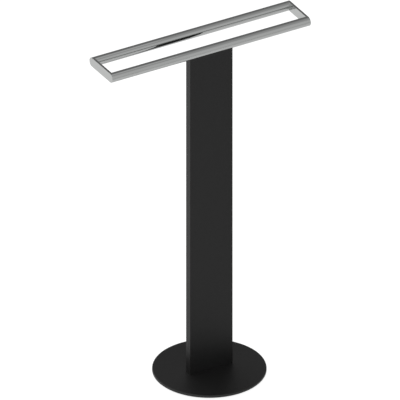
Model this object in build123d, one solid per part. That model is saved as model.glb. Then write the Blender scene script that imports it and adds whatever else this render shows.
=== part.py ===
from build123d import *

import math
import os

# Counter-top display stand for one pair of glasses.
#
# A thin round base plate carries a post of flat bar. The top of the post is coped to the round
# front rail of a slim loop, and the loop reaches out behind the post. The glasses lie across
# the loop's two rails.
#
# Millimetres. +Z is up, +X runs along the loop, and the front of the stand faces -Y.
# The origin is on the counter, under the middle of the base plate.

# Base plate: a laser-cut steel disc with its top edge rounded over.
BASE_DIAMETER = 70.0
BASE_THICKNESS = 1.6
BASE_TOP_EDGE_RADIUS = 0.6
BASE_LOWER_EDGE_CHAMFER = 0.2

# Rubber bumpers stuck under the base plate, on a circle.
BUMPER_COUNT = 4
BUMPER_CIRCLE = 54.0
BUMPER_TOP_DIAMETER = 8.0
BUMPER_FOOT_DIAMETER = 7.0
BUMPER_HEIGHT = 1.5
BUMPER_EDGE_CHAMFER = 0.3

# Post: 30 x 5 flat bar.
POST_WIDTH = 30.0
POST_THICKNESS = 5.0
POST_EDGE_RADIUS = 0.1

# Loop: two rails of 6 mm rod between two thin round-ended plates.
LOOP_LENGTH = 140.0
RAIL_DIAMETER = 6.0
RAIL_SPACING = 22.3
RAIL_HEIGHT = 227.1
END_PLATE_THICKNESS = 1.5
END_PLATE_EDGE_CHAMFER = 0.1
SPIGOT_DIAMETER = 3.0

# Fixings: two screws into the foot of the post and two dowels out of its top, one above the other.
FIXING_SPACING = 20.0
DRILL_POINT_ANGLE = 118.0

# M3 x 8 countersunk socket screws.
THREAD_DIAMETER = 3.0
THREAD_CHAMFER = 0.3
SCREW_LENGTH = 8.0
SCREW_HEAD_DIAMETER = 5.5
SCREW_HEAD_LAND = 0.15
SCREW_SOCKET_FLATS = 2.0
SCREW_SOCKET_DEPTH = 1.0
SCREW_CLEARANCE_DIAMETER = 3.4
TAPPED_DEPTH = 9.0

# 3 x 14 dowel pins.
DOWEL_DIAMETER = 3.0
DOWEL_LENGTH = 14.0
DOWEL_CHAMFER = 0.4
DOWEL_IN_RAIL = 3.5
DOWEL_END_GAP = 0.3

# Worked out from the sizes above.
BASE_UNDERSIDE = BUMPER_HEIGHT
BASE_TOP = BASE_UNDERSIDE + BASE_THICKNESS
RAIL_LENGTH = LOOP_LENGTH - 2 * END_PLATE_THICKNESS
SADDLE_BOTTOM = RAIL_HEIGHT - RAIL_DIAMETER / 2
DOWEL_TOP = SADDLE_BOTTOM + DOWEL_IN_RAIL

# Stands a solid on the plane that it is made on.
ON_BASE = (Align.CENTER, Align.CENTER, Align.MIN)

# The two sides of the stand, as a sign along X.
SIDES = {"left": -1, "right": 1}


def drilled_hole(diameter, depth):
    """The hole that a twist drill leaves: it goes down from the origin and ends in a cone."""
    radius = diameter / 2
    point = radius / math.tan(math.radians(DRILL_POINT_ANGLE / 2))
    profile = Polyline((0, 0), (radius, 0), (radius, -depth), (0, -depth - point), close=True)
    return revolve(Plane.XZ * make_face(profile), axis=Axis.Z)


def fixing_places(height):
    """Where the left and right fixings cross a level of the post."""
    return [Pos(side * FIXING_SPACING / 2, 0, height) for side in SIDES.values()]


def rod_along_x(diameter, length):
    return Rot(0, 90, 0) * Cylinder(diameter / 2, length)


def rail(centre_y):
    """A rod whose ends are turned down to the spigots that sit in the end plates."""
    rod = rod_along_x(RAIL_DIAMETER, RAIL_LENGTH) + rod_along_x(SPIGOT_DIAMETER, LOOP_LENGTH)
    return Pos(0, centre_y, RAIL_HEIGHT) * rod


def front_rail():
    """The rail over the post, drilled from below for the dowels."""
    body = rail(0)
    for place in fixing_places(SADDLE_BOTTOM):
        body -= place * Rot(180, 0, 0) * drilled_hole(DOWEL_DIAMETER, DOWEL_IN_RAIL)
    return body


def back_rail():
    return rail(RAIL_SPACING)


def end_plate(side):
    """A round-ended strip across the ends of both rails, flush with them all round."""
    outline = SlotCenterToCenter(RAIL_SPACING, RAIL_DIAMETER)
    holes = Locations((-RAIL_SPACING / 2, 0), (RAIL_SPACING / 2, 0)).locations
    outline -= [place * Circle(SPIGOT_DIAMETER / 2) for place in holes]
    inner_face = Plane.YZ.offset(side * RAIL_LENGTH / 2)
    plate = extrude(inner_face * outline, side * END_PLATE_THICKNESS)
    rim = plate.faces().sort_by(Axis.X)[-1 if side > 0 else 0].outer_wire().edges()
    plate = chamfer(rim, END_PLATE_EDGE_CHAMFER)
    return Pos(0, RAIL_SPACING / 2, RAIL_HEIGHT) * plate


def post():
    """Flat bar with a saddle for the front rail, dowel holes above and tapped holes below."""
    bar = Box(POST_WIDTH, POST_THICKNESS, RAIL_HEIGHT - BASE_TOP, align=ON_BASE)
    bar = fillet(bar.edges().filter_by(Axis.Z), POST_EDGE_RADIUS)
    bar = Pos(0, 0, BASE_TOP) * bar
    bar -= Pos(0, 0, RAIL_HEIGHT) * rod_along_x(RAIL_DIAMETER, 2 * POST_WIDTH)
    for place in fixing_places(DOWEL_TOP):
        bar -= place * drilled_hole(DOWEL_DIAMETER, DOWEL_LENGTH + DOWEL_END_GAP)
    for place in fixing_places(BASE_TOP):
        bar -= place * Rot(180, 0, 0) * drilled_hole(THREAD_DIAMETER, TAPPED_DEPTH)
    return bar


def rail_dowel(side):
    """Pin pressed up into the front rail and bonded into the post."""
    pin = Cylinder(DOWEL_DIAMETER / 2, DOWEL_LENGTH)
    pin = chamfer(pin.edges(), DOWEL_CHAMFER)
    return Pos(side * FIXING_SPACING / 2, 0, DOWEL_TOP - DOWEL_LENGTH / 2) * pin


def screw_blank():
    """Countersunk screw without its socket, head down, with the head's flat at the origin."""
    head_radius = SCREW_HEAD_DIAMETER / 2
    thread_radius = THREAD_DIAMETER / 2
    profile = Polyline(
        (0, 0),
        (head_radius, 0),
        (head_radius, SCREW_HEAD_LAND),
        (thread_radius, SCREW_HEAD_LAND + head_radius - thread_radius),
        (thread_radius, SCREW_LENGTH - THREAD_CHAMFER),
        (thread_radius - THREAD_CHAMFER, SCREW_LENGTH),
        (0, SCREW_LENGTH),
        close=True,
    )
    return revolve(Plane.XZ * make_face(profile), axis=Axis.Z)


def base_screw(side):
    """Screw up through the base plate into the post, its head flush with the underside."""
    socket = RegularPolygon(SCREW_SOCKET_FLATS / 2, 6, major_radius=False)
    screw = screw_blank() - extrude(socket, SCREW_SOCKET_DEPTH)
    return Pos(side * FIXING_SPACING / 2, 0, BASE_UNDERSIDE) * screw


def base_plate():
    """Disc with a rounded top edge, countersunk from below for the screws."""
    disc = Cylinder(BASE_DIAMETER / 2, BASE_THICKNESS, align=ON_BASE)
    disc = chamfer(disc.edges().group_by(Axis.Z)[0], BASE_LOWER_EDGE_CHAMFER)
    disc = fillet(disc.edges().group_by(Axis.Z)[-1], BASE_TOP_EDGE_RADIUS)
    disc = Pos(0, 0, BASE_UNDERSIDE) * disc
    for place in fixing_places(BASE_UNDERSIDE):
        disc -= place * screw_blank()
        disc -= place * Cylinder(SCREW_CLEARANCE_DIAMETER / 2, BASE_THICKNESS, align=ON_BASE)
    return disc


def bumper(index):
    """Low tapered foot, the widest where it is stuck to the base plate."""
    foot = Cone(BUMPER_FOOT_DIAMETER / 2, BUMPER_TOP_DIAMETER / 2, BUMPER_HEIGHT, align=ON_BASE)
    foot = chamfer(foot.edges().group_by(Axis.Z)[0], BUMPER_EDGE_CHAMFER)
    turn = 360 / BUMPER_COUNT * (index + 0.5)
    return Rot(0, 0, turn) * Pos(BUMPER_CIRCLE / 2, 0, 0) * foot


def all_parts():
    parts = {
        "base_plate": base_plate(),
        "post": post(),
        "front_rail": front_rail(),
        "back_rail": back_rail(),
    }
    for name, side in SIDES.items():
        parts[f"{name}_end_plate"] = end_plate(side)
        parts[f"rail_dowel_{name}"] = rail_dowel(side)
        parts[f"base_screw_{name}"] = base_screw(side)
    for index in range(BUMPER_COUNT):
        parts[f"bumper_{index + 1}"] = bumper(index)
    return parts


os.makedirs("parts", exist_ok=True)
for name, solid in all_parts().items():
    export_step(solid, f"parts/{name}.step")
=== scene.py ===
"""Looks for a counter-top glasses stand: a black powder-coated post and foot with a bright loop."""

import math

import bpy
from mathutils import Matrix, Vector


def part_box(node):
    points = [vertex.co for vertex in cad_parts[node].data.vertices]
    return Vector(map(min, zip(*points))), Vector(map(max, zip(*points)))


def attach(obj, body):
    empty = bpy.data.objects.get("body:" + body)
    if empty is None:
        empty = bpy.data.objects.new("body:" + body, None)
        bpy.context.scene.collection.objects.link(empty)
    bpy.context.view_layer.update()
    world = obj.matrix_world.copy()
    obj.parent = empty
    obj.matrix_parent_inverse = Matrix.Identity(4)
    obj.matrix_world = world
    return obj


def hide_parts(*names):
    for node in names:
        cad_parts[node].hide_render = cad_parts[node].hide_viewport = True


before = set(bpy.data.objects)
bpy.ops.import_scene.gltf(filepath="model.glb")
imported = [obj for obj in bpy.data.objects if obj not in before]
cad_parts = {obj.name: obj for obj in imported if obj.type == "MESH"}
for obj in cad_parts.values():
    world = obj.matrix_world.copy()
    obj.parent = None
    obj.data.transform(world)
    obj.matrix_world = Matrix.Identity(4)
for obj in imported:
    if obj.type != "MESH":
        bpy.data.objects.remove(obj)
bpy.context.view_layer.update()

# Metres, in the frame's own axes.
BASE_LOW, BASE_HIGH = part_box("base_plate")
POST_LOW, POST_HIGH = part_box("post")
SCREW_LOW, SCREW_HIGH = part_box("base_screw_right")
BUMPER_LOW, BUMPER_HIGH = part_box("bumper_1")

# Base screws: M3 countersunk socket screws, head down in the underside of the base plate.
SCREW_SPACING = SCREW_LOW[0] + SCREW_HIGH[0]
SCREW_HEAD_DIAMETER = SCREW_HIGH[0] - SCREW_LOW[0]
SCREW_LENGTH = SCREW_HIGH[2] - SCREW_LOW[2]
SCREW_HEAD_LAND = 0.00015
SCREW_HEAD_ROUNDING = 0.00005
SCREW_THREAD_DIAMETER = 0.003
SCREW_THREAD_PITCH = 0.0005
SCREW_THREAD_DEPTH = 0.0003
SCREW_THREAD_FLANK = (0.06, 0.44)  # Shares of a pitch from a crest, where a flank starts and ends.
SCREW_SOCKET_FLATS = 0.002
SCREW_SOCKET_DEPTH = 0.001
SCREW_SOCKET_LEAD = 0.00004
SCREW_SOCKET_POINT = math.tan(math.radians(30))  # Slope of the drill point at the socket's bottom.
SCREW_SEED = 4
HEXAGON_SIXTH = math.radians(60)

# Bumpers: tapered rubber feet with a thin pad of adhesive, on a ring under the base plate.
BUMPER_COUNT = 4
BUMPER_RING = math.hypot(BUMPER_LOW[0] + BUMPER_HIGH[0], BUMPER_LOW[1] + BUMPER_HIGH[1]) / 2
BUMPER_HEIGHT = BUMPER_HIGH[2] - BUMPER_LOW[2]
BUMPER_TOP_DIAMETER = BUMPER_HIGH[0] - BUMPER_LOW[0]
BUMPER_FOOT_DIAMETER = 0.007
BUMPER_EDGE_RADIUS = 0.0004
BUMPER_PAD_THICKNESS = 0.00012
BUMPER_PAD_INSET = 0.00015
BUMPER_SEED = 9

# Turned pieces: the ring that an outline is carried round, and how fine their meshes are.
TURNING_RING = 0.01
ROUNDING_STEPS = 5
WELD_DISTANCE = 1e-6
THREAD_RINGS = 120
SCREW_SEGMENTS = 48
BUMPER_SEGMENTS = 64
CREASE_ANGLE = math.radians(30)

# Surface effects: the noise that makes each of them, and the stretch of it that they show.
GRAIN_NOISE = {"Scale": 1.0, "Detail": 2.0, "Roughness": 0.55}
GRAIN_SHOWN = (0.3, 0.7)
TONE_NOISE = {"Scale": 0.6, "Detail": 1.0, "Roughness": 0.5}
TONE_SHOWN = (0.35, 0.65)
TONE_SHIFT = (37.0, 11.0, 23.0)
HAZE_NOISE = {"Scale": 1.0, "Detail": 3.0, "Roughness": 0.6, "Distortion": 0.8}
HAZE_SHOWN = (0.42, 0.72)
WIPING_ARCS = {"Scale": 1.3, "Distortion": 6.0, "Detail": 2.0, "Detail Scale": 0.7}
DUST_NOISE = {"Scale": 1.0, "Detail": 4.0, "Roughness": 0.6}
DUST_SHOWN = (0.25, 0.75)
DUST_FACING = (0.6, 0.95)
DUST_THINNEST = 0.4
DUST_PATCH = 0.008
SPECK_CELLS = {"Scale": 0.5, "Randomness": 1.0}
SPECK_EDGE = (0.16, 0.08)
SPECK_SIZE = 0.0006

# Finishes. A tone moves a colour between its two ends, by these shares of the effects on it.
# What is under rougher is added to the roughness where an effect is at its fullest.

# Powder coat. Base plate and post are one coat; the base plate's darker colours are painted shade.
POST_COAT = {"ior": 1.34, "dark": 0.0045, "light": 0.0065}
BASE_COAT_WITH_PAINTED_SHADE = {"ior": 1.47, "dark": 0.0030, "light": 0.0045}
COAT_TONE = {"grain": 0.6, "peel": 0.25, "haze": 0.15}
COAT_ROUGHNESS = 0.40
COAT_ROUGHER = {"grain": 0.06, "haze": 0.03, "edge": -0.08, "dust": 0.5}
# A lighter colour on the coat's edges: partly the thin coat there, partly a painted highlight.
COAT_THIN_EDGE_AND_HIGHLIGHT = 0.008
COAT_THIN_EDGE_AND_HIGHLIGHT_SHARE = 0.5
COAT_EDGE_WIDTH = 0.0005
COAT_GRAIN = 0.00022
COAT_GRAIN_DEPTH = 1.2e-5
COAT_PEEL = 0.0022
COAT_PEEL_DEPTH = 1.2e-5
COAT_MARKS = 0.03
DUST_COLOUR = (0.30, 0.29, 0.28, 1)
DUST_COVER = {"film": 0.003, "specks": 0.05}

# Polished plating.
METAL_LIGHT = (0.512, 0.521, 0.516, 1)
METAL_DARK = (0.480, 0.489, 0.484, 1)
METAL_TONE = {"lines": 0.45, "bands": 0.35, "haze": 0.2}
METAL_ROUGHNESS = 0.03
METAL_ROUGHER = {"lines": 0.03, "bands": 0.02, "haze": 0.02, "wiping": 0.02}
METAL_MARKS = 0.012
POLISH_LINE = 0.00012
POLISH_BAND = 0.0006
POLISH_LINE_REACH = 60
POLISH_LINE_DEPTH = 4e-7
POLISH_BAND_DEPTH = 6e-7

# Zinc-plated steel.
STEEL_LIGHT = (0.60, 0.61, 0.62, 1)
STEEL_DARK = (0.47, 0.48, 0.47, 1)
STEEL_TONE = {"spangle": 0.5, "haze": 0.3, "rings": 0.2}
STEEL_ROUGHNESS = 0.26
STEEL_ROUGHER = {"spangle": 0.12, "haze": 0.08}
STEEL_MARKS = 0.004
STEEL_SPANGLE = 0.0004
STEEL_SPANGLE_DEPTH = 5e-6
STEEL_RING_PITCH = 0.00012
STEEL_RING_DEPTH = 2e-6

# Rubber.
RUBBER_DARK = 0.014
RUBBER_LIGHT = 0.026
RUBBER_TONE = {"grain": 0.5, "haze": 0.5}
RUBBER_ROUGHNESS = 0.6
RUBBER_ROUGHER = {"grain": 0.1, "haze": 0.08}
RUBBER_MARKS = 0.005
RUBBER_GRAIN = 0.00025
RUBBER_GRAIN_DEPTH = 1.2e-5

# View: parallel, from the front left and above.
VIEW_AZIMUTH = math.radians(-30)
VIEW_ELEVATION = math.radians(30)
VIEW_WIDTH = 0.2443
VIEW_DISTANCE = 1.0
VIEW_NEAREST = 0.01
VIEW_FARTHEST = 20
VIEW_NUDGE_RIGHT = -0.00012
VIEW_NUDGE_UP = -0.00053

# Floor: white paper. Shares of its own glow and of the light that lands on it, by who looks.
FLOOR_RADIUS = 0.62
FLOOR_SIDES = 128
PAPER_WHITE = 0.9
PAPER_SEEN_GLOW = 0.88
PAPER_SEEN_LIT = 0.26
PAPER_MIRRORED_GLOW = 0.37
PAPER_MIRRORED_LIT = 0.5
# What metal and coat mirror of the paper's glow grows darker towards the front right: painted shade.
PAPER_PAINTED_SHADE_TOWARDS = Vector((0.5, -0.86, 0))
PAPER_PAINTED_SHADE_PER_METRE = 0.25

# Lamps: where they stand, what they point at, their two sides and how bright each point of them is.
KEY_LAMP = {"place": (-0.7, -0.8, 1.2), "aim": (0, 0, 0.1), "size": (0.8, 0.8), "radiance": 5.0}
OVERHEAD_LAMP = {"place": (0.0, 0.02, 0.73), "aim": (0.0, 0.02, 0), "size": (0.44, 0.26),
                 "radiance": 0.2, "mirrored": True}

# Room: its brightness by direction, from its back round to its front.
ROOM_FRONT_TURN = math.radians(170)
ROOM_FRONT = Vector((0, math.cos(ROOM_FRONT_TURN), math.sin(ROOM_FRONT_TURN)))
ROOM_STEPS = ((0.0, 0.25), (0.15, 0.21), (0.25, 0.215), (0.42, 0.31), (0.55, 0.44), (0.75, 0.47),
              (0.90, 0.68), (1.0, 0.72))
ROOM_LEFT_GLOW = 0.95
ROOM_LEFT_FROM = 0.3
ROOM_LEFT_FULL = -0.2
ROOM_BELOW_HORIZON = 0.62
HORIZON_BLUR = 0.03

# A Mix node has sockets for each kind of value. These are a colour's.
MIX_FIRST = 6
MIX_SECOND = 7
MIX_RESULT = 2

# As good as endless, beside anything on the stand.
FAR_OFF = 1.0


# ---------------------------------------------------------------- node helpers


def add(tree, kind, inputs=None, **settings):
    """A new node with its settings, and its inputs as values or as sockets to link."""
    node = tree.nodes.new(kind)
    for key, value in settings.items():
        setattr(node, key, value)
    for key, value in (inputs or {}).items():
        if isinstance(value, bpy.types.NodeSocket):
            tree.links.new(value, node.inputs[key])
        else:
            node.inputs[key].default_value = value
    return node


def grey(value):
    """A grey of one level, as a colour."""
    return (value, value, value, 1)


def math_node(tree, operation, first, second=0.0):
    """One operation on numbers."""
    return add(tree, "ShaderNodeMath", {0: first, 1: second}, operation=operation).outputs[0]


def vector_math(tree, operation, first, second=(0, 0, 0)):
    """One operation on vectors that gives a vector."""
    return add(tree, "ShaderNodeVectorMath", {0: first, 1: second}, operation=operation).outputs[0]


def vector_measure(tree, operation, *vectors):
    """One operation on vectors that gives a number, such as a length."""
    inputs = dict(enumerate(vectors))
    return add(tree, "ShaderNodeVectorMath", inputs, operation=operation).outputs["Value"]


def from_axis(tree, place):
    """How far a place lies from the Z axis."""
    level = vector_math(tree, "MULTIPLY", place, (1, 1, 0))
    return vector_measure(tree, "LENGTH", level)


def remap(tree, value, low, high, new_low, new_high, **settings):
    """The value carried from one range to another, held at the ends."""
    inputs = {"Value": value, "From Min": low, "From Max": high, "To Min": new_low, "To Max": new_high}
    return add(tree, "ShaderNodeMapRange", inputs, **settings).outputs["Result"]


def mixed(tree, share, first, second):
    """A colour between two colours."""
    inputs = {"Factor": share, MIX_FIRST: first, MIX_SECOND: second}
    return add(tree, "ShaderNodeMix", inputs, data_type="RGBA").outputs[MIX_RESULT]


def fresh_material(name):
    """A new material with nothing in its node tree."""
    material = bpy.data.materials.new(name)
    material.use_nodes = True
    material.node_tree.nodes.clear()
    return material, material.node_tree


def new_group(kind, name, inputs, outputs):
    """A node group with named sockets: (name, socket kind, value) going in, (name, kind) out."""
    tree = bpy.data.node_groups.new(name, kind)
    for label, socket_kind, value in inputs:
        socket = tree.interface.new_socket(label, in_out="INPUT", socket_type=socket_kind)
        if value is not None:
            socket.default_value = value
    for label, socket_kind in outputs:
        tree.interface.new_socket(label, in_out="OUTPUT", socket_type=socket_kind)
    return tree, add(tree, "NodeGroupInput").outputs


def placed_group(tree, group, **inputs):
    """A group placed in a tree, with its inputs by name, where _ stands for a space."""
    kind = "ShaderNodeGroup" if group.bl_idname == "ShaderNodeTree" else "GeometryNodeGroup"
    named = {label.replace("_", " "): value for label, value in inputs.items()}
    return add(tree, kind, named, node_tree=group).outputs


def finish_group(tree, *results):
    """Link what a group puts out, in the order of its sockets."""
    out = add(tree, "NodeGroupOutput")
    for socket, result in zip(out.inputs, results):
        tree.links.new(result, socket)


# ---------------------------------------------------------------- camera and stage


def view_axes():
    """Right, up and backward directions of the view."""
    right = Vector((math.cos(VIEW_AZIMUTH), math.sin(VIEW_AZIMUTH), 0))
    back = Vector((math.sin(VIEW_AZIMUTH), -math.cos(VIEW_AZIMUTH), 0)) * math.cos(VIEW_ELEVATION)
    back += Vector((0, 0, math.sin(VIEW_ELEVATION)))
    return right, back.cross(right), back


def view_middle(right, up):
    """Middle of what the view sees of the object, on the view's two axes."""
    corners = [vertex.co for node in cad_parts.values() for vertex in node.data.vertices]
    across = [corner.dot(right) for corner in corners]
    along = [corner.dot(up) for corner in corners]
    return (min(across) + max(across)) / 2, (min(along) + max(along)) / 2


def make_camera():
    """The scene's camera, square on to the view and a little off its middle."""
    right, up, back = view_axes()
    across, along = view_middle(right, up)
    aim = right * (across + VIEW_NUDGE_RIGHT) + up * (along + VIEW_NUDGE_UP)
    data = bpy.data.cameras.new("camera")
    data.type = "ORTHO"
    data.ortho_scale = VIEW_WIDTH
    data.clip_start = VIEW_NEAREST
    data.clip_end = VIEW_FARTHEST
    camera = bpy.data.objects.new("camera", data)
    camera.location = aim + back * VIEW_DISTANCE
    camera.rotation_euler = back.to_track_quat("Z", "Y").to_euler()
    bpy.context.scene.collection.objects.link(camera)
    bpy.context.scene.camera = camera


def make_floor():
    """White paper under the stand: it keeps the stand's shadow and lights nothing by itself."""
    bpy.ops.mesh.primitive_circle_add(vertices=FLOOR_SIDES, radius=FLOOR_RADIUS, fill_type="NGON")
    floor = bpy.context.object
    floor.name = "floor"
    material, tree = fresh_material("white_paper")
    rays = add(tree, "ShaderNodeLightPath")

    def by_looker(plain, mirrored, seen):
        """One value for light on its way, one for what metal and coat show, one for the camera."""
        value = remap(tree, rays.outputs["Is Glossy Ray"], 0, 1, plain, mirrored)
        inputs = {"Factor": rays.outputs["Is Camera Ray"], "A": value, "B": seen}
        return add(tree, "ShaderNodeMix", inputs).outputs["Result"]

    place = add(tree, "ShaderNodeTexCoord").outputs["Object"]
    # Painted shade: the glow that metal and coat mirror drops off towards the front right.
    reach = vector_measure(tree, "DOT_PRODUCT", place, PAPER_PAINTED_SHADE_TOWARDS)
    painted_shade = math_node(tree, "MULTIPLY", reach, PAPER_PAINTED_SHADE_PER_METRE)
    mirrored_glow = math_node(tree, "SUBTRACT", PAPER_MIRRORED_GLOW, painted_shade)
    lit = by_looker(PAPER_WHITE, PAPER_MIRRORED_LIT, PAPER_SEEN_LIT)
    glow = by_looker(0, mirrored_glow, PAPER_SEEN_GLOW)
    paper = add(tree, "ShaderNodeBsdfDiffuse", {"Color": lit})
    light = add(tree, "ShaderNodeEmission", {"Color": glow})
    both = add(tree, "ShaderNodeAddShader", {0: paper.outputs[0], 1: light.outputs[0]})
    add(tree, "ShaderNodeOutputMaterial", {"Surface": both.outputs[0]})
    floor.data.materials.append(material)


def make_world():
    """Soft room: lightest on the left, then in front and below; plain white to the camera."""
    world = bpy.data.worlds.new("studio")
    bpy.context.scene.world = world
    world.use_nodes = True
    tree = world.node_tree
    tree.nodes.clear()
    rays = add(tree, "ShaderNodeLightPath")
    direction = add(tree, "ShaderNodeTexCoord").outputs["Generated"]
    facing = vector_measure(tree, "DOT_PRODUCT", direction, ROOM_FRONT)
    share = remap(tree, facing, -1, 1, 0, 1)
    ramp = add(tree, "ShaderNodeValToRGB", {"Fac": share})
    ramp.color_ramp.interpolation = "EASE"
    steps = ramp.color_ramp.elements
    for step, (place, value) in zip(steps, (ROOM_STEPS[0], ROOM_STEPS[-1])):
        step.position = place
        step.color = grey(value)
    for place, value in ROOM_STEPS[1:-1]:
        steps.new(place).color = grey(value)
    axes = add(tree, "ShaderNodeSeparateXYZ", {"Vector": direction}).outputs
    left = remap(tree, axes["X"], ROOM_LEFT_FROM, ROOM_LEFT_FULL, 0, 1, interpolation_type="SMOOTHSTEP")
    sides = mixed(tree, left, ramp.outputs["Color"], grey(ROOM_LEFT_GLOW))
    below = remap(tree, axes["Z"], HORIZON_BLUR, -HORIZON_BLUR, 0, 1)
    room = mixed(tree, below, sides, grey(ROOM_BELOW_HORIZON))
    seen = mixed(tree, rays.outputs["Is Camera Ray"], room, grey(1))
    background = add(tree, "ShaderNodeBackground", {"Color": seen})
    add(tree, "ShaderNodeOutputWorld", {"Surface": background.outputs[0]})


def area_lamp(name, place, aim, size, radiance, mirrored=False):
    """A rectangular lamp of an even radiance, which the camera never sees."""
    data = bpy.data.lights.new(name, "AREA")
    data.shape = "RECTANGLE"
    data.size, data.size_y = size
    data.energy = radiance * math.pi * size[0] * size[1]
    lamp = bpy.data.objects.new(name, data)
    lamp.location = place
    lamp.rotation_euler = (Vector(place) - Vector(aim)).to_track_quat("Z", "Y").to_euler()
    lamp.visible_camera = False
    lamp.visible_glossy = mirrored
    bpy.context.scene.collection.objects.link(lamp)


def make_lamps():
    """A large soft key on the front left, and a faint panel overhead that the metal shows."""
    area_lamp("key", **KEY_LAMP)
    area_lamp("overhead", **OVERHEAD_LAMP)


# ---------------------------------------------------------------- turned pieces


def own_place(tree):
    """Each point's own place, in a geometry tree."""
    return add(tree, "GeometryNodeInputPosition").outputs[0]


def by_corner(tree, kind, values):
    """A field that gives each corner of an outline its own value from a list."""
    node = add(tree, "GeometryNodeIndexSwitch", data_type=kind)
    while len(node.index_switch_items) < len(values):
        node.index_switch_items.new()
    index = add(tree, "GeometryNodeInputIndex").outputs[0]
    for socket, value in zip(node.inputs, (index, *values)):
        if isinstance(value, bpy.types.NodeSocket):
            tree.links.new(value, socket)
        else:
            socket.default_value = value
    return node.outputs[0]


def half_outline(tree, corners):
    """An outline from the top of the axis, round the outside, to the foot of the axis.

    A corner is its radius and height, the radius that rounds it, and the cuts in the run after it.
    """
    radii, heights, roundings, cuts = zip(*corners)
    places = [add(tree, "ShaderNodeCombineXYZ", {"X": radius, "Y": height}).outputs[0]
              for radius, height in zip(radii, heights)]
    line = add(tree, "GeometryNodeMeshLine", {"Count": len(corners)})
    curve = add(tree, "GeometryNodeMeshToCurve", {"Mesh": line.outputs[0]})
    bent = add(tree, "GeometryNodeSetPosition", {
        "Geometry": curve.outputs[0], "Position": by_corner(tree, "VECTOR", places)})
    marked = add(tree, "GeometryNodeStoreNamedAttribute", {
        "Geometry": bent.outputs[0], "Name": "rounding", "Value": by_corner(tree, "FLOAT", roundings)})
    cut = add(tree, "GeometryNodeSubdivideCurve", {
        "Curve": marked.outputs[0], "Cuts": by_corner(tree, "INT", cuts)})
    rounding = add(tree, "GeometryNodeInputNamedAttribute", {"Name": "rounding"}, data_type="FLOAT")
    rounded = add(tree, "GeometryNodeFilletCurve", {
        "Curve": cut.outputs[0], "Count": ROUNDING_STEPS, "Radius": rounding.outputs[0],
        "Limit Radius": True}, mode="POLY")
    return rounded.outputs[0]


def make_turning():
    """The group that carries a half outline once round the Z axis and closes it on the axis."""
    tree, given = new_group("GeometryNodeTree", "turned_piece", [
        ("Outline", "NodeSocketGeometry", None),
        ("Segments", "NodeSocketInt", None),
    ], [("Piece", "NodeSocketGeometry")])
    ring = add(tree, "GeometryNodeCurvePrimitiveCircle", {
        "Resolution": given["Segments"], "Radius": TURNING_RING})
    level = add(tree, "GeometryNodeSetCurveNormal", {"Curve": ring.outputs[0]}, mode="Z_UP")
    upright = vector_math(tree, "MULTIPLY", own_place(tree), (1, -1, 1))
    from_ring = vector_math(tree, "SUBTRACT", upright, (TURNING_RING, 0, 0))
    outline = add(tree, "GeometryNodeSetPosition", {
        "Geometry": given["Outline"], "Position": from_ring})
    swept = add(tree, "GeometryNodeCurveToMesh", {
        "Curve": level.outputs[0], "Profile Curve": outline.outputs[0]})
    closed = add(tree, "GeometryNodeMergeByDistance", {
        "Geometry": swept.outputs[0], "Distance": WELD_DISTANCE})
    finish_group(tree, closed.outputs[0])
    return tree


def make_setting():
    """The group that sets a turned piece on points, each copy with its own turn, in their finish."""
    tree, given = new_group("GeometryNodeTree", "set_pieces", [
        ("Piece", "NodeSocketGeometry", None),
        ("Points", "NodeSocketGeometry", None),
        ("Seed", "NodeSocketInt", None),
        ("Crease Angle", "NodeSocketFloat", CREASE_ANGLE),
        ("Finish", "NodeSocketMaterial", None),
    ], [("Pieces", "NodeSocketGeometry")])
    distance = from_axis(tree, own_place(tree))
    marked = add(tree, "GeometryNodeStoreNamedAttribute", {
        "Geometry": given["Piece"], "Name": "from_axis", "Value": distance})
    bend = add(tree, "GeometryNodeInputMeshEdgeAngle").outputs["Unsigned Angle"]
    crease = add(tree, "FunctionNodeCompare", {"A": bend, "B": given["Crease Angle"]},
                 data_type="FLOAT", operation="GREATER_THAN")
    creased = add(tree, "GeometryNodeSetShadeSmooth", {
        "Geometry": marked.outputs[0], "Selection": crease.outputs[0],
        "Shade Smooth": False}, domain="EDGE")
    turn = add(tree, "FunctionNodeRandomValue", {
        "Min": 0.0, "Max": 2 * math.pi, "Seed": given["Seed"]}, data_type="FLOAT")
    about_z = add(tree, "ShaderNodeCombineXYZ", {"Z": turn.outputs[1]})
    rotation = add(tree, "FunctionNodeEulerToRotation", {"Euler": about_z.outputs[0]})
    copies = add(tree, "GeometryNodeInstanceOnPoints", {
        "Points": given["Points"], "Instance": creased.outputs[0], "Rotation": rotation.outputs[0]})
    real = add(tree, "GeometryNodeRealizeInstances", {"Geometry": copies.outputs[0]})
    finished = add(tree, "GeometryNodeSetMaterial", {
        "Geometry": real.outputs[0], "Material": given["Finish"]})
    finish_group(tree, finished.outputs[0])
    return tree


def height_and_angle(tree):
    """Each point's height, and its angle round the Z axis."""
    axes = add(tree, "ShaderNodeSeparateXYZ", {"Vector": own_place(tree)}).outputs
    return axes["Z"], math_node(tree, "ARCTAN2", axes["Y"], axes["X"])


def scaled_about_axis(tree, geometry, factor, selection):
    """The selected points moved towards or away from the Z axis by a factor."""
    factors = add(tree, "ShaderNodeCombineXYZ", {"X": factor, "Y": factor, "Z": 1.0}).outputs[0]
    scaled = vector_math(tree, "MULTIPLY", own_place(tree), factors)
    return add(tree, "GeometryNodeSetPosition", {
        "Geometry": geometry, "Selection": selection, "Position": scaled}).outputs[0]


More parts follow.
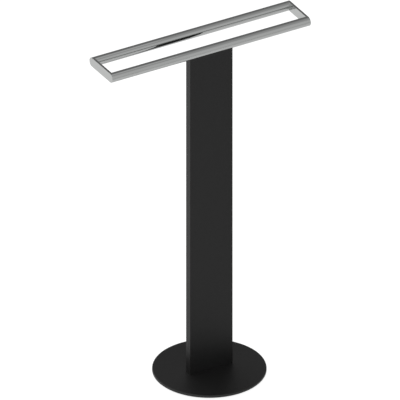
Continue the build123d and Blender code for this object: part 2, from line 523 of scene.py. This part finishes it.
def cut_thread(tree, geometry, given, thread_start, thread_end):
    """A V thread with flattened crests and roots, run out at both of its ends."""
    radius = math_node(tree, "MULTIPLY", given["Thread Diameter"], 0.5)
    distance = from_axis(tree, own_place(tree))
    height, angle = height_and_angle(tree)
    rise = math_node(tree, "DIVIDE", height, given["Thread Pitch"])
    turn = math_node(tree, "DIVIDE", angle, 2 * math.pi)
    wave = math_node(tree, "PINGPONG", math_node(tree, "SUBTRACT", rise, turn), 0.5)
    groove = remap(tree, wave, *SCREW_THREAD_FLANK, 0, 1)
    run_in = math_node(tree, "ADD", thread_start, given["Thread Pitch"])
    run_out = math_node(tree, "SUBTRACT", thread_end, given["Thread Pitch"])
    lower = remap(tree, height, thread_start, run_in, 0, 1)
    upper = remap(tree, height, thread_end, run_out, 0, 1)
    share = math_node(tree, "MULTIPLY", groove, math_node(tree, "MULTIPLY", lower, upper))
    depth = math_node(tree, "MULTIPLY", share, given["Thread Depth"])
    factor = math_node(tree, "SUBTRACT", 1, math_node(tree, "DIVIDE", depth, radius))
    on_shank = add(tree, "FunctionNodeCompare", {"A": distance, "B": radius, "Epsilon": WELD_DISTANCE},
                   data_type="FLOAT", operation="EQUAL")
    return scaled_about_axis(tree, geometry, factor, on_shank.outputs[0])


def broach_socket(tree, geometry, given):
    """The round socket pushed out to a hexagon."""
    angle = height_and_angle(tree)[1]
    in_sixth = math_node(tree, "FLOORED_MODULO", angle, HEXAGON_SIXTH)
    from_flat = math_node(tree, "SUBTRACT", in_sixth, HEXAGON_SIXTH / 2)
    factor = math_node(tree, "DIVIDE", 1, math_node(tree, "COSINE", from_flat))
    radius = math_node(tree, "MULTIPLY", given["Socket Flats"], 0.5)
    reach = math_node(tree, "ADD", radius, WELD_DISTANCE)
    distance = from_axis(tree, own_place(tree))
    in_socket = add(tree, "FunctionNodeCompare", {"A": distance, "B": reach},
                    data_type="FLOAT", operation="LESS_THAN")
    return scaled_about_axis(tree, geometry, factor, in_socket.outputs[0])


def base_screws(turning, setting, finish):
    """Both screws, each head down and flush with the underside of the base plate."""
    tree, given = new_group("GeometryNodeTree", "base_screws", [
        ("Spacing", "NodeSocketFloat", None), ("Underside", "NodeSocketFloat", None),
        ("Head Diameter", "NodeSocketFloat", None), ("Head Land", "NodeSocketFloat", None),
        ("Head Rounding", "NodeSocketFloat", None), ("Length", "NodeSocketFloat", None),
        ("Thread Diameter", "NodeSocketFloat", None), ("Thread Pitch", "NodeSocketFloat", None),
        ("Thread Depth", "NodeSocketFloat", None), ("Socket Flats", "NodeSocketFloat", None),
        ("Socket Depth", "NodeSocketFloat", None), ("Socket Lead", "NodeSocketFloat", None),
        ("Seed", "NodeSocketInt", None), ("Finish", "NodeSocketMaterial", None),
    ], [("Screws", "NodeSocketGeometry")])
    head = math_node(tree, "MULTIPLY", given["Head Diameter"], 0.5)
    thread = math_node(tree, "MULTIPLY", given["Thread Diameter"], 0.5)
    socket = math_node(tree, "MULTIPLY", given["Socket Flats"], 0.5)
    tip = math_node(tree, "SUBTRACT", thread, given["Thread Depth"])
    thread_end = math_node(tree, "SUBTRACT", given["Length"], given["Thread Depth"])
    cone = math_node(tree, "SUBTRACT", head, thread)
    neck = math_node(tree, "ADD", given["Head Land"], cone)
    across_corners = math_node(tree, "DIVIDE", socket, math.cos(HEXAGON_SIXTH / 2))
    mouth = math_node(tree, "ADD", across_corners, given["Socket Lead"])
    lead = math_node(tree, "SUBTRACT", mouth, socket)
    drill_point = math_node(tree, "MULTIPLY", socket, SCREW_SOCKET_POINT)
    bottom = math_node(tree, "ADD", given["Socket Depth"], drill_point)
    outline = half_outline(tree, [
        (0.0, given["Length"], 0.0, 0),
        (tip, given["Length"], 0.0, 0),
        (thread, thread_end, 0.0, THREAD_RINGS),
        (thread, neck, 0.0, 0),
        (head, given["Head Land"], 0.0, 0),
        (head, 0.0, given["Head Rounding"], 0),
        (mouth, 0.0, 0.0, 0),
        (socket, lead, 0.0, 0),
        (socket, given["Socket Depth"], 0.0, 0),
        (0.0, bottom, 0.0, 0),
    ])
    blank = placed_group(tree, turning, Outline=outline, Segments=SCREW_SEGMENTS)[0]
    threaded = cut_thread(tree, blank, given, neck, thread_end)
    screw = broach_socket(tree, threaded, given)
    first = add(tree, "ShaderNodeCombineXYZ", {
        "X": math_node(tree, "MULTIPLY", given["Spacing"], -0.5), "Z": given["Underside"]})
    step = add(tree, "ShaderNodeCombineXYZ", {"X": given["Spacing"]})
    places = add(tree, "GeometryNodeMeshLine", {
        "Count": 2, "Start Location": first.outputs[0], "Offset": step.outputs[0]})
    screws = placed_group(tree, setting, Piece=screw, Points=places.outputs[0], Seed=given["Seed"],
                          Finish=given["Finish"])[0]
    finish_group(tree, screws)
    return grow("base_screws", tree, Spacing=SCREW_SPACING, Underside=SCREW_LOW[2],
                Head_Diameter=SCREW_HEAD_DIAMETER, Head_Land=SCREW_HEAD_LAND,
                Head_Rounding=SCREW_HEAD_ROUNDING, Length=SCREW_LENGTH,
                Thread_Diameter=SCREW_THREAD_DIAMETER, Thread_Pitch=SCREW_THREAD_PITCH,
                Thread_Depth=SCREW_THREAD_DEPTH, Socket_Flats=SCREW_SOCKET_FLATS,
                Socket_Depth=SCREW_SOCKET_DEPTH, Socket_Lead=SCREW_SOCKET_LEAD,
                Seed=SCREW_SEED, Finish=finish)


def bumpers(turning, setting, finish):
    """The rubber feet, stuck under the base plate at even steps round a ring."""
    tree, given = new_group("GeometryNodeTree", "bumpers", [
        ("Count", "NodeSocketInt", None), ("Ring", "NodeSocketFloat", None),
        ("Height", "NodeSocketFloat", None), ("Top Diameter", "NodeSocketFloat", None),
        ("Foot Diameter", "NodeSocketFloat", None), ("Edge Radius", "NodeSocketFloat", None),
        ("Pad Thickness", "NodeSocketFloat", None), ("Pad Inset", "NodeSocketFloat", None),
        ("Seed", "NodeSocketInt", None), ("Finish", "NodeSocketMaterial", None),
    ], [("Bumpers", "NodeSocketGeometry")])
    top = math_node(tree, "MULTIPLY", given["Top Diameter"], 0.5)
    foot = math_node(tree, "MULTIPLY", given["Foot Diameter"], 0.5)
    pad = math_node(tree, "SUBTRACT", top, given["Pad Inset"])
    shoulder = math_node(tree, "SUBTRACT", given["Height"], given["Pad Thickness"])
    outline = half_outline(tree, [
        (0.0, given["Height"], 0.0, 0),
        (pad, given["Height"], 0.0, 0),
        (pad, shoulder, 0.0, 0),
        (top, shoulder, given["Pad Thickness"], 0),
        (foot, 0.0, given["Edge Radius"], 0),
        (0.0, 0.0, 0.0, 0),
    ])
    bumper = placed_group(tree, turning, Outline=outline, Segments=BUMPER_SEGMENTS)[0]
    ring = add(tree, "GeometryNodeMeshCircle", {"Vertices": given["Count"], "Radius": given["Ring"]})
    half_step = math_node(tree, "DIVIDE", math.pi, given["Count"])
    turn = add(tree, "ShaderNodeCombineXYZ", {"Z": half_step})
    rotation = add(tree, "FunctionNodeEulerToRotation", {"Euler": turn.outputs[0]})
    places = add(tree, "GeometryNodeTransform", {
        "Geometry": ring.outputs[0], "Rotation": rotation.outputs[0]})
    feet = placed_group(tree, setting, Piece=bumper, Points=places.outputs[0], Seed=given["Seed"],
                        Finish=given["Finish"])[0]
    finish_group(tree, feet)
    return grow("bumpers", tree, Count=BUMPER_COUNT, Ring=BUMPER_RING, Height=BUMPER_HEIGHT,
                Top_Diameter=BUMPER_TOP_DIAMETER, Foot_Diameter=BUMPER_FOOT_DIAMETER,
                Edge_Radius=BUMPER_EDGE_RADIUS, Pad_Thickness=BUMPER_PAD_THICKNESS,
                Pad_Inset=BUMPER_PAD_INSET, Seed=BUMPER_SEED, Finish=finish)


def grow(name, tree, **inputs):
    """The plain mesh that a geometry tree gives with these inputs, as a piece at the origin.

    The outline's Mesh Line brings an empty material slot with it, which is dropped.
    """
    piece = bpy.data.objects.new(name, bpy.data.meshes.new(name))
    bpy.context.scene.collection.objects.link(piece)
    maker = piece.modifiers.new(name, "NODES")
    maker.node_group = tree
    for socket in tree.interface.items_tree:
        if socket.in_out == "INPUT":
            maker[socket.identifier] = inputs[socket.name.replace(" ", "_")]
    grown = piece.evaluated_get(bpy.context.evaluated_depsgraph_get())
    mesh = bpy.data.meshes.new_from_object(grown)
    piece.modifiers.remove(maker)
    mesh.materials.pop(index=0)
    piece.data = mesh
    return piece


# ---------------------------------------------------------------- surface effects


def make_fine_grain():
    """The group for a fine uneven surface: its height, and a tone in patches of about that size."""
    tree, given = new_group("ShaderNodeTree", "fine_grain", [
        ("Place", "NodeSocketVector", None),
        ("Size", "NodeSocketFloat", None),
        ("Stretch", "NodeSocketVector", (1, 1, 1)),
    ], [("Height", "NodeSocketFloat"), ("Tone", "NodeSocketFloat")])
    cell = vector_math(tree, "MULTIPLY", given["Stretch"], given["Size"])
    in_cells = vector_math(tree, "DIVIDE", given["Place"], cell)
    bumps = add(tree, "ShaderNodeTexNoise", {"Vector": in_cells, **GRAIN_NOISE})
    shifted = vector_math(tree, "ADD", in_cells, TONE_SHIFT)
    patches = add(tree, "ShaderNodeTexNoise", {"Vector": shifted, **TONE_NOISE})
    height = remap(tree, bumps.outputs[0], *GRAIN_SHOWN, 0, 1)
    tone = remap(tree, patches.outputs[0], *TONE_SHOWN, 0, 1)
    finish_group(tree, height, tone)
    return tree


def make_handling_marks():
    """The group for the faint clouding that hands and cloths leave: a soft haze in broad patches."""
    tree, given = new_group("ShaderNodeTree", "handling_marks", [
        ("Place", "NodeSocketVector", None),
        ("Size", "NodeSocketFloat", None),
    ], [("Haze", "NodeSocketFloat"), ("Wiping", "NodeSocketFloat")])
    in_patches = vector_math(tree, "DIVIDE", given["Place"], given["Size"])
    clouds = add(tree, "ShaderNodeTexNoise", {"Vector": in_patches, **HAZE_NOISE})
    arcs = add(tree, "ShaderNodeTexWave", {"Vector": in_patches, **WIPING_ARCS})
    haze = remap(tree, clouds.outputs[0], *HAZE_SHOWN, 0, 1)
    wiping = math_node(tree, "MULTIPLY", haze, arcs.outputs["Fac"])
    finish_group(tree, haze, wiping)
    return tree


def make_settled_dust():
    """The group for dust on what faces up: an uneven film with separate specks in it."""
    tree, given = new_group("ShaderNodeTree", "settled_dust", [
        ("Place", "NodeSocketVector", None),
        ("Facing", "NodeSocketVector", None),
        ("Patch Size", "NodeSocketFloat", DUST_PATCH),
        ("Speck Size", "NodeSocketFloat", SPECK_SIZE),
    ], [("Film", "NodeSocketFloat"), ("Specks", "NodeSocketFloat")])
    facing_up = add(tree, "ShaderNodeSeparateXYZ", {"Vector": given["Facing"]}).outputs["Z"]
    lying = remap(tree, facing_up, *DUST_FACING, 0, 1)
    in_patches = vector_math(tree, "DIVIDE", given["Place"], given["Patch Size"])
    patches = add(tree, "ShaderNodeTexNoise", {"Vector": in_patches, **DUST_NOISE})
    thickness = remap(tree, patches.outputs[0], *DUST_SHOWN, DUST_THINNEST, 1)
    film = math_node(tree, "MULTIPLY", lying, thickness)
    in_specks = vector_math(tree, "DIVIDE", given["Place"], given["Speck Size"])
    specks = add(tree, "ShaderNodeTexVoronoi", {"Vector": in_specks, **SPECK_CELLS})
    speck = remap(tree, specks.outputs["Distance"], *SPECK_EDGE, 0, 1)
    finish_group(tree, film, math_node(tree, "MULTIPLY", speck, film))
    return tree


def make_thin_and_highlit_edges():
    """The group for long edges, where a coat draws thin and a painted highlight goes: strongest where
    two faces of a box meet.
    """
    tree, given = new_group("ShaderNodeTree", "thin_edges", [
        ("Place", "NodeSocketVector", None),
        ("Lowest", "NodeSocketVector", None),
        ("Highest", "NodeSocketVector", None),
        ("Width", "NodeSocketFloat", None),
    ], [("Edge", "NodeSocketFloat")])
    above = vector_math(tree, "SUBTRACT", given["Place"], given["Lowest"])
    below = vector_math(tree, "SUBTRACT", given["Highest"], given["Place"])
    depth = vector_math(tree, "MINIMUM", above, below)
    inside = add(tree, "ShaderNodeSeparateXYZ", {"Vector": depth}).outputs
    near = [remap(tree, inside[axis], 0, given["Width"], 1, 0) for axis in "XYZ"]
    pairs = [math_node(tree, "MULTIPLY", near[one], near[other])
             for one, other in ((0, 1), (1, 2), (0, 2))]
    edge = math_node(tree, "MAXIMUM", pairs[0], math_node(tree, "MAXIMUM", pairs[1], pairs[2]))
    finish_group(tree, edge)
    return tree


# ---------------------------------------------------------------- materials


def object_place(tree):
    """Each point's place in the stand's frame, in a material."""
    return add(tree, "ShaderNodeTexCoord").outputs["Object"]


def round_place(tree, place):
    """A place on a round piece as its distance from the Z axis, nothing, and its height."""
    height = add(tree, "ShaderNodeSeparateXYZ", {"Vector": place}).outputs["Z"]
    return add(tree, "ShaderNodeCombineXYZ", {"X": from_axis(tree, place), "Z": height}).outputs[0]


def weighted(tree, weights, **values):
    """The sum of values, each times the weight of its name."""
    first, *others = [math_node(tree, "MULTIPLY", values[name], weights[name]) for name in values]
    for other in others:
        first = math_node(tree, "ADD", first, other)
    return first


def rougher(tree, roughness, weights, **values):
    """A roughness, with what the weighted values add to it."""
    return math_node(tree, "ADD", weighted(tree, weights, **values), roughness)


def bumped(tree, height, distance, normal=None):
    """The normal of a surface with these heights on it, over a normal that it may have already."""
    inputs = {"Height": height, "Distance": distance, "Strength": 1.0}
    if normal is not None:
        inputs["Normal"] = normal
    return add(tree, "ShaderNodeBump", inputs).outputs[0]


def shaded(tree, colour, roughness, normal, **plain):
    """The material's shader, with what changes over the surface and its plain values."""
    inputs = {"Base Color": colour, "Roughness": roughness, "Normal": normal, **plain}
    shader = add(tree, "ShaderNodeBsdfPrincipled", inputs)
    add(tree, "ShaderNodeOutputMaterial", {"Surface": shader.outputs[0]})


def powder_coat(name, effects, build, lowest, highest, is_round=False):
    """Fine matt black powder coat: tiny grain over faint orange peel, thin on its edges, whose lighter
    colour is partly a painted highlight.
    """
    material, tree = fresh_material(name)
    place = object_place(tree)
    grain = placed_group(tree, effects["fine_grain"], Place=place, Size=COAT_GRAIN)
    peel = placed_group(tree, effects["fine_grain"], Place=place, Size=COAT_PEEL)
    marks = placed_group(tree, effects["handling_marks"], Place=place, Size=COAT_MARKS)
    facing = add(tree, "ShaderNodeTexCoord").outputs["Normal"]
    dust = placed_group(tree, effects["settled_dust"], Place=place, Facing=facing)
    edge_place = round_place(tree, place) if is_round else place
    edge = placed_group(tree, effects["thin_edges"], Place=edge_place, Lowest=lowest,
                        Highest=highest, Width=COAT_EDGE_WIDTH)["Edge"]

    tone = weighted(tree, COAT_TONE, grain=grain["Tone"], peel=peel["Tone"], haze=marks["Haze"])
    coat = mixed(tree, tone, grey(build["dark"]), grey(build["light"]))
    # Lighter edges: the thin coat there, and a painted highlight.
    coat = mixed(tree, math_node(tree, "MULTIPLY", edge, COAT_THIN_EDGE_AND_HIGHLIGHT_SHARE), coat, grey(COAT_THIN_EDGE_AND_HIGHLIGHT))
    cover = weighted(tree, DUST_COVER, film=dust["Film"], specks=dust["Specks"])
    colour = mixed(tree, cover, coat, DUST_COLOUR)
    roughness = rougher(tree, COAT_ROUGHNESS, COAT_ROUGHER, grain=grain["Tone"], haze=marks["Haze"],
                        edge=edge, dust=cover)
    normal = bumped(tree, peel["Height"], COAT_PEEL_DEPTH)
    normal = bumped(tree, grain["Height"], COAT_GRAIN_DEPTH, normal)
    shaded(tree, colour, roughness, normal, IOR=build["ior"])
    return material


def polished_metal(name, effects, lay):
    """Bright polished plating, with faint polishing lines along its lay and a little clouding."""
    material, tree = fresh_material(name)
    place = object_place(tree)
    drawn_out = Vector((1, 1, 1)) + lay * POLISH_LINE_REACH
    lines = placed_group(tree, effects["fine_grain"], Place=place, Size=POLISH_LINE, Stretch=drawn_out)
    bands = placed_group(tree, effects["fine_grain"], Place=place, Size=POLISH_BAND, Stretch=drawn_out)
    marks = placed_group(tree, effects["handling_marks"], Place=place, Size=METAL_MARKS)

    tone = weighted(tree, METAL_TONE, lines=lines["Tone"], bands=bands["Tone"], haze=marks["Haze"])
    colour = mixed(tree, tone, METAL_LIGHT, METAL_DARK)
    roughness = rougher(tree, METAL_ROUGHNESS, METAL_ROUGHER, lines=lines["Height"],
                        bands=bands["Tone"], haze=marks["Haze"], wiping=marks["Wiping"])
    normal = bumped(tree, bands["Height"], POLISH_BAND_DEPTH)
    normal = bumped(tree, lines["Height"], POLISH_LINE_DEPTH, normal)
    shaded(tree, colour, roughness, normal, Metallic=1.0)
    return material


def bright_steel(effects):
    """Zinc-plated steel: a spangled tone, with the rings that turning leaves round each axis."""
    material, tree = fresh_material("zinc_plated_steel")
    place = object_place(tree)
    spangle = placed_group(tree, effects["fine_grain"], Place=place, Size=STEEL_SPANGLE)
    marks = placed_group(tree, effects["handling_marks"], Place=place, Size=STEEL_MARKS)
    distance = add(tree, "ShaderNodeAttribute", attribute_name="from_axis").outputs["Fac"]
    turns = math_node(tree, "MULTIPLY", distance, 2 * math.pi / STEEL_RING_PITCH)
    rings = remap(tree, math_node(tree, "SINE", turns), -1, 1, 0, 1)

    tone = weighted(tree, STEEL_TONE, spangle=spangle["Tone"], haze=marks["Haze"], rings=rings)
    colour = mixed(tree, tone, STEEL_LIGHT, STEEL_DARK)
    roughness = rougher(tree, STEEL_ROUGHNESS, STEEL_ROUGHER, spangle=spangle["Height"],
                        haze=marks["Haze"])
    normal = bumped(tree, rings, STEEL_RING_DEPTH)
    normal = bumped(tree, spangle["Height"], STEEL_SPANGLE_DEPTH, normal)
    shaded(tree, colour, roughness, normal, Metallic=1.0)
    return material


def black_rubber(effects):
    """Moulded black rubber: dull, finely grained and a little dusty."""
    material, tree = fresh_material("moulded_rubber")
    place = object_place(tree)
    grain = placed_group(tree, effects["fine_grain"], Place=place, Size=RUBBER_GRAIN)
    marks = placed_group(tree, effects["handling_marks"], Place=place, Size=RUBBER_MARKS)

    tone = weighted(tree, RUBBER_TONE, grain=grain["Tone"], haze=marks["Haze"])
    colour = mixed(tree, tone, grey(RUBBER_DARK), grey(RUBBER_LIGHT))
    roughness = rougher(tree, RUBBER_ROUGHNESS, RUBBER_ROUGHER, grain=grain["Height"],
                        haze=marks["Haze"])
    shaded(tree, colour, roughness, bumped(tree, grain["Height"], RUBBER_GRAIN_DEPTH))
    return material


# ---------------------------------------------------------------- the stand


def dress_stand():
    """Every CAD node in its finish; the screws and bumpers as pieces of their own."""
    effects = {"fine_grain": make_fine_grain(), "handling_marks": make_handling_marks(),
               "settled_dust": make_settled_dust(), "thin_edges": make_thin_and_highlit_edges()}
    along_x, along_y = Vector((1, 0, 0)), Vector((0, 1, 0))
    rod_finish = polished_metal("polished_rod", effects, along_x)
    plate_finish = polished_metal("polished_plate", effects, along_y)
    steel = bright_steel(effects)
    rubber = black_rubber(effects)
    base_rim = (BASE_HIGH[0], FAR_OFF, BASE_HIGH[2])
    base_middle = (-FAR_OFF, -FAR_OFF, BASE_LOW[2])
    finishes = {
        # The base plate's coat, darker than the post's: painted shade on the foot.
        "base_plate": powder_coat("powder_coat_base", effects, BASE_COAT_WITH_PAINTED_SHADE, base_middle, base_rim,
                                  is_round=True),
        "post": powder_coat("powder_coat_post", effects, POST_COAT, POST_LOW, POST_HIGH),
        "front_rail": rod_finish, "back_rail": rod_finish,
        "left_end_plate": plate_finish, "right_end_plate": plate_finish,
        "rail_dowel_left": steel, "rail_dowel_right": steel,
    }
    for node, finish in finishes.items():
        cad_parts[node].data.materials[0] = finish

    turning, setting = make_turning(), make_setting()
    screws = base_screws(turning, setting, steel)
    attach(screws, "root")
    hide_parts("base_screw_left", "base_screw_right")
    feet = bumpers(turning, setting, rubber)
    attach(feet, "root")
    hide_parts(*(f"bumper_{number}" for number in range(1, BUMPER_COUNT + 1)))


make_camera()
make_floor()
make_world()
make_lamps()
dress_stand()

bpy.context.scene.view_settings.view_transform = "Standard"
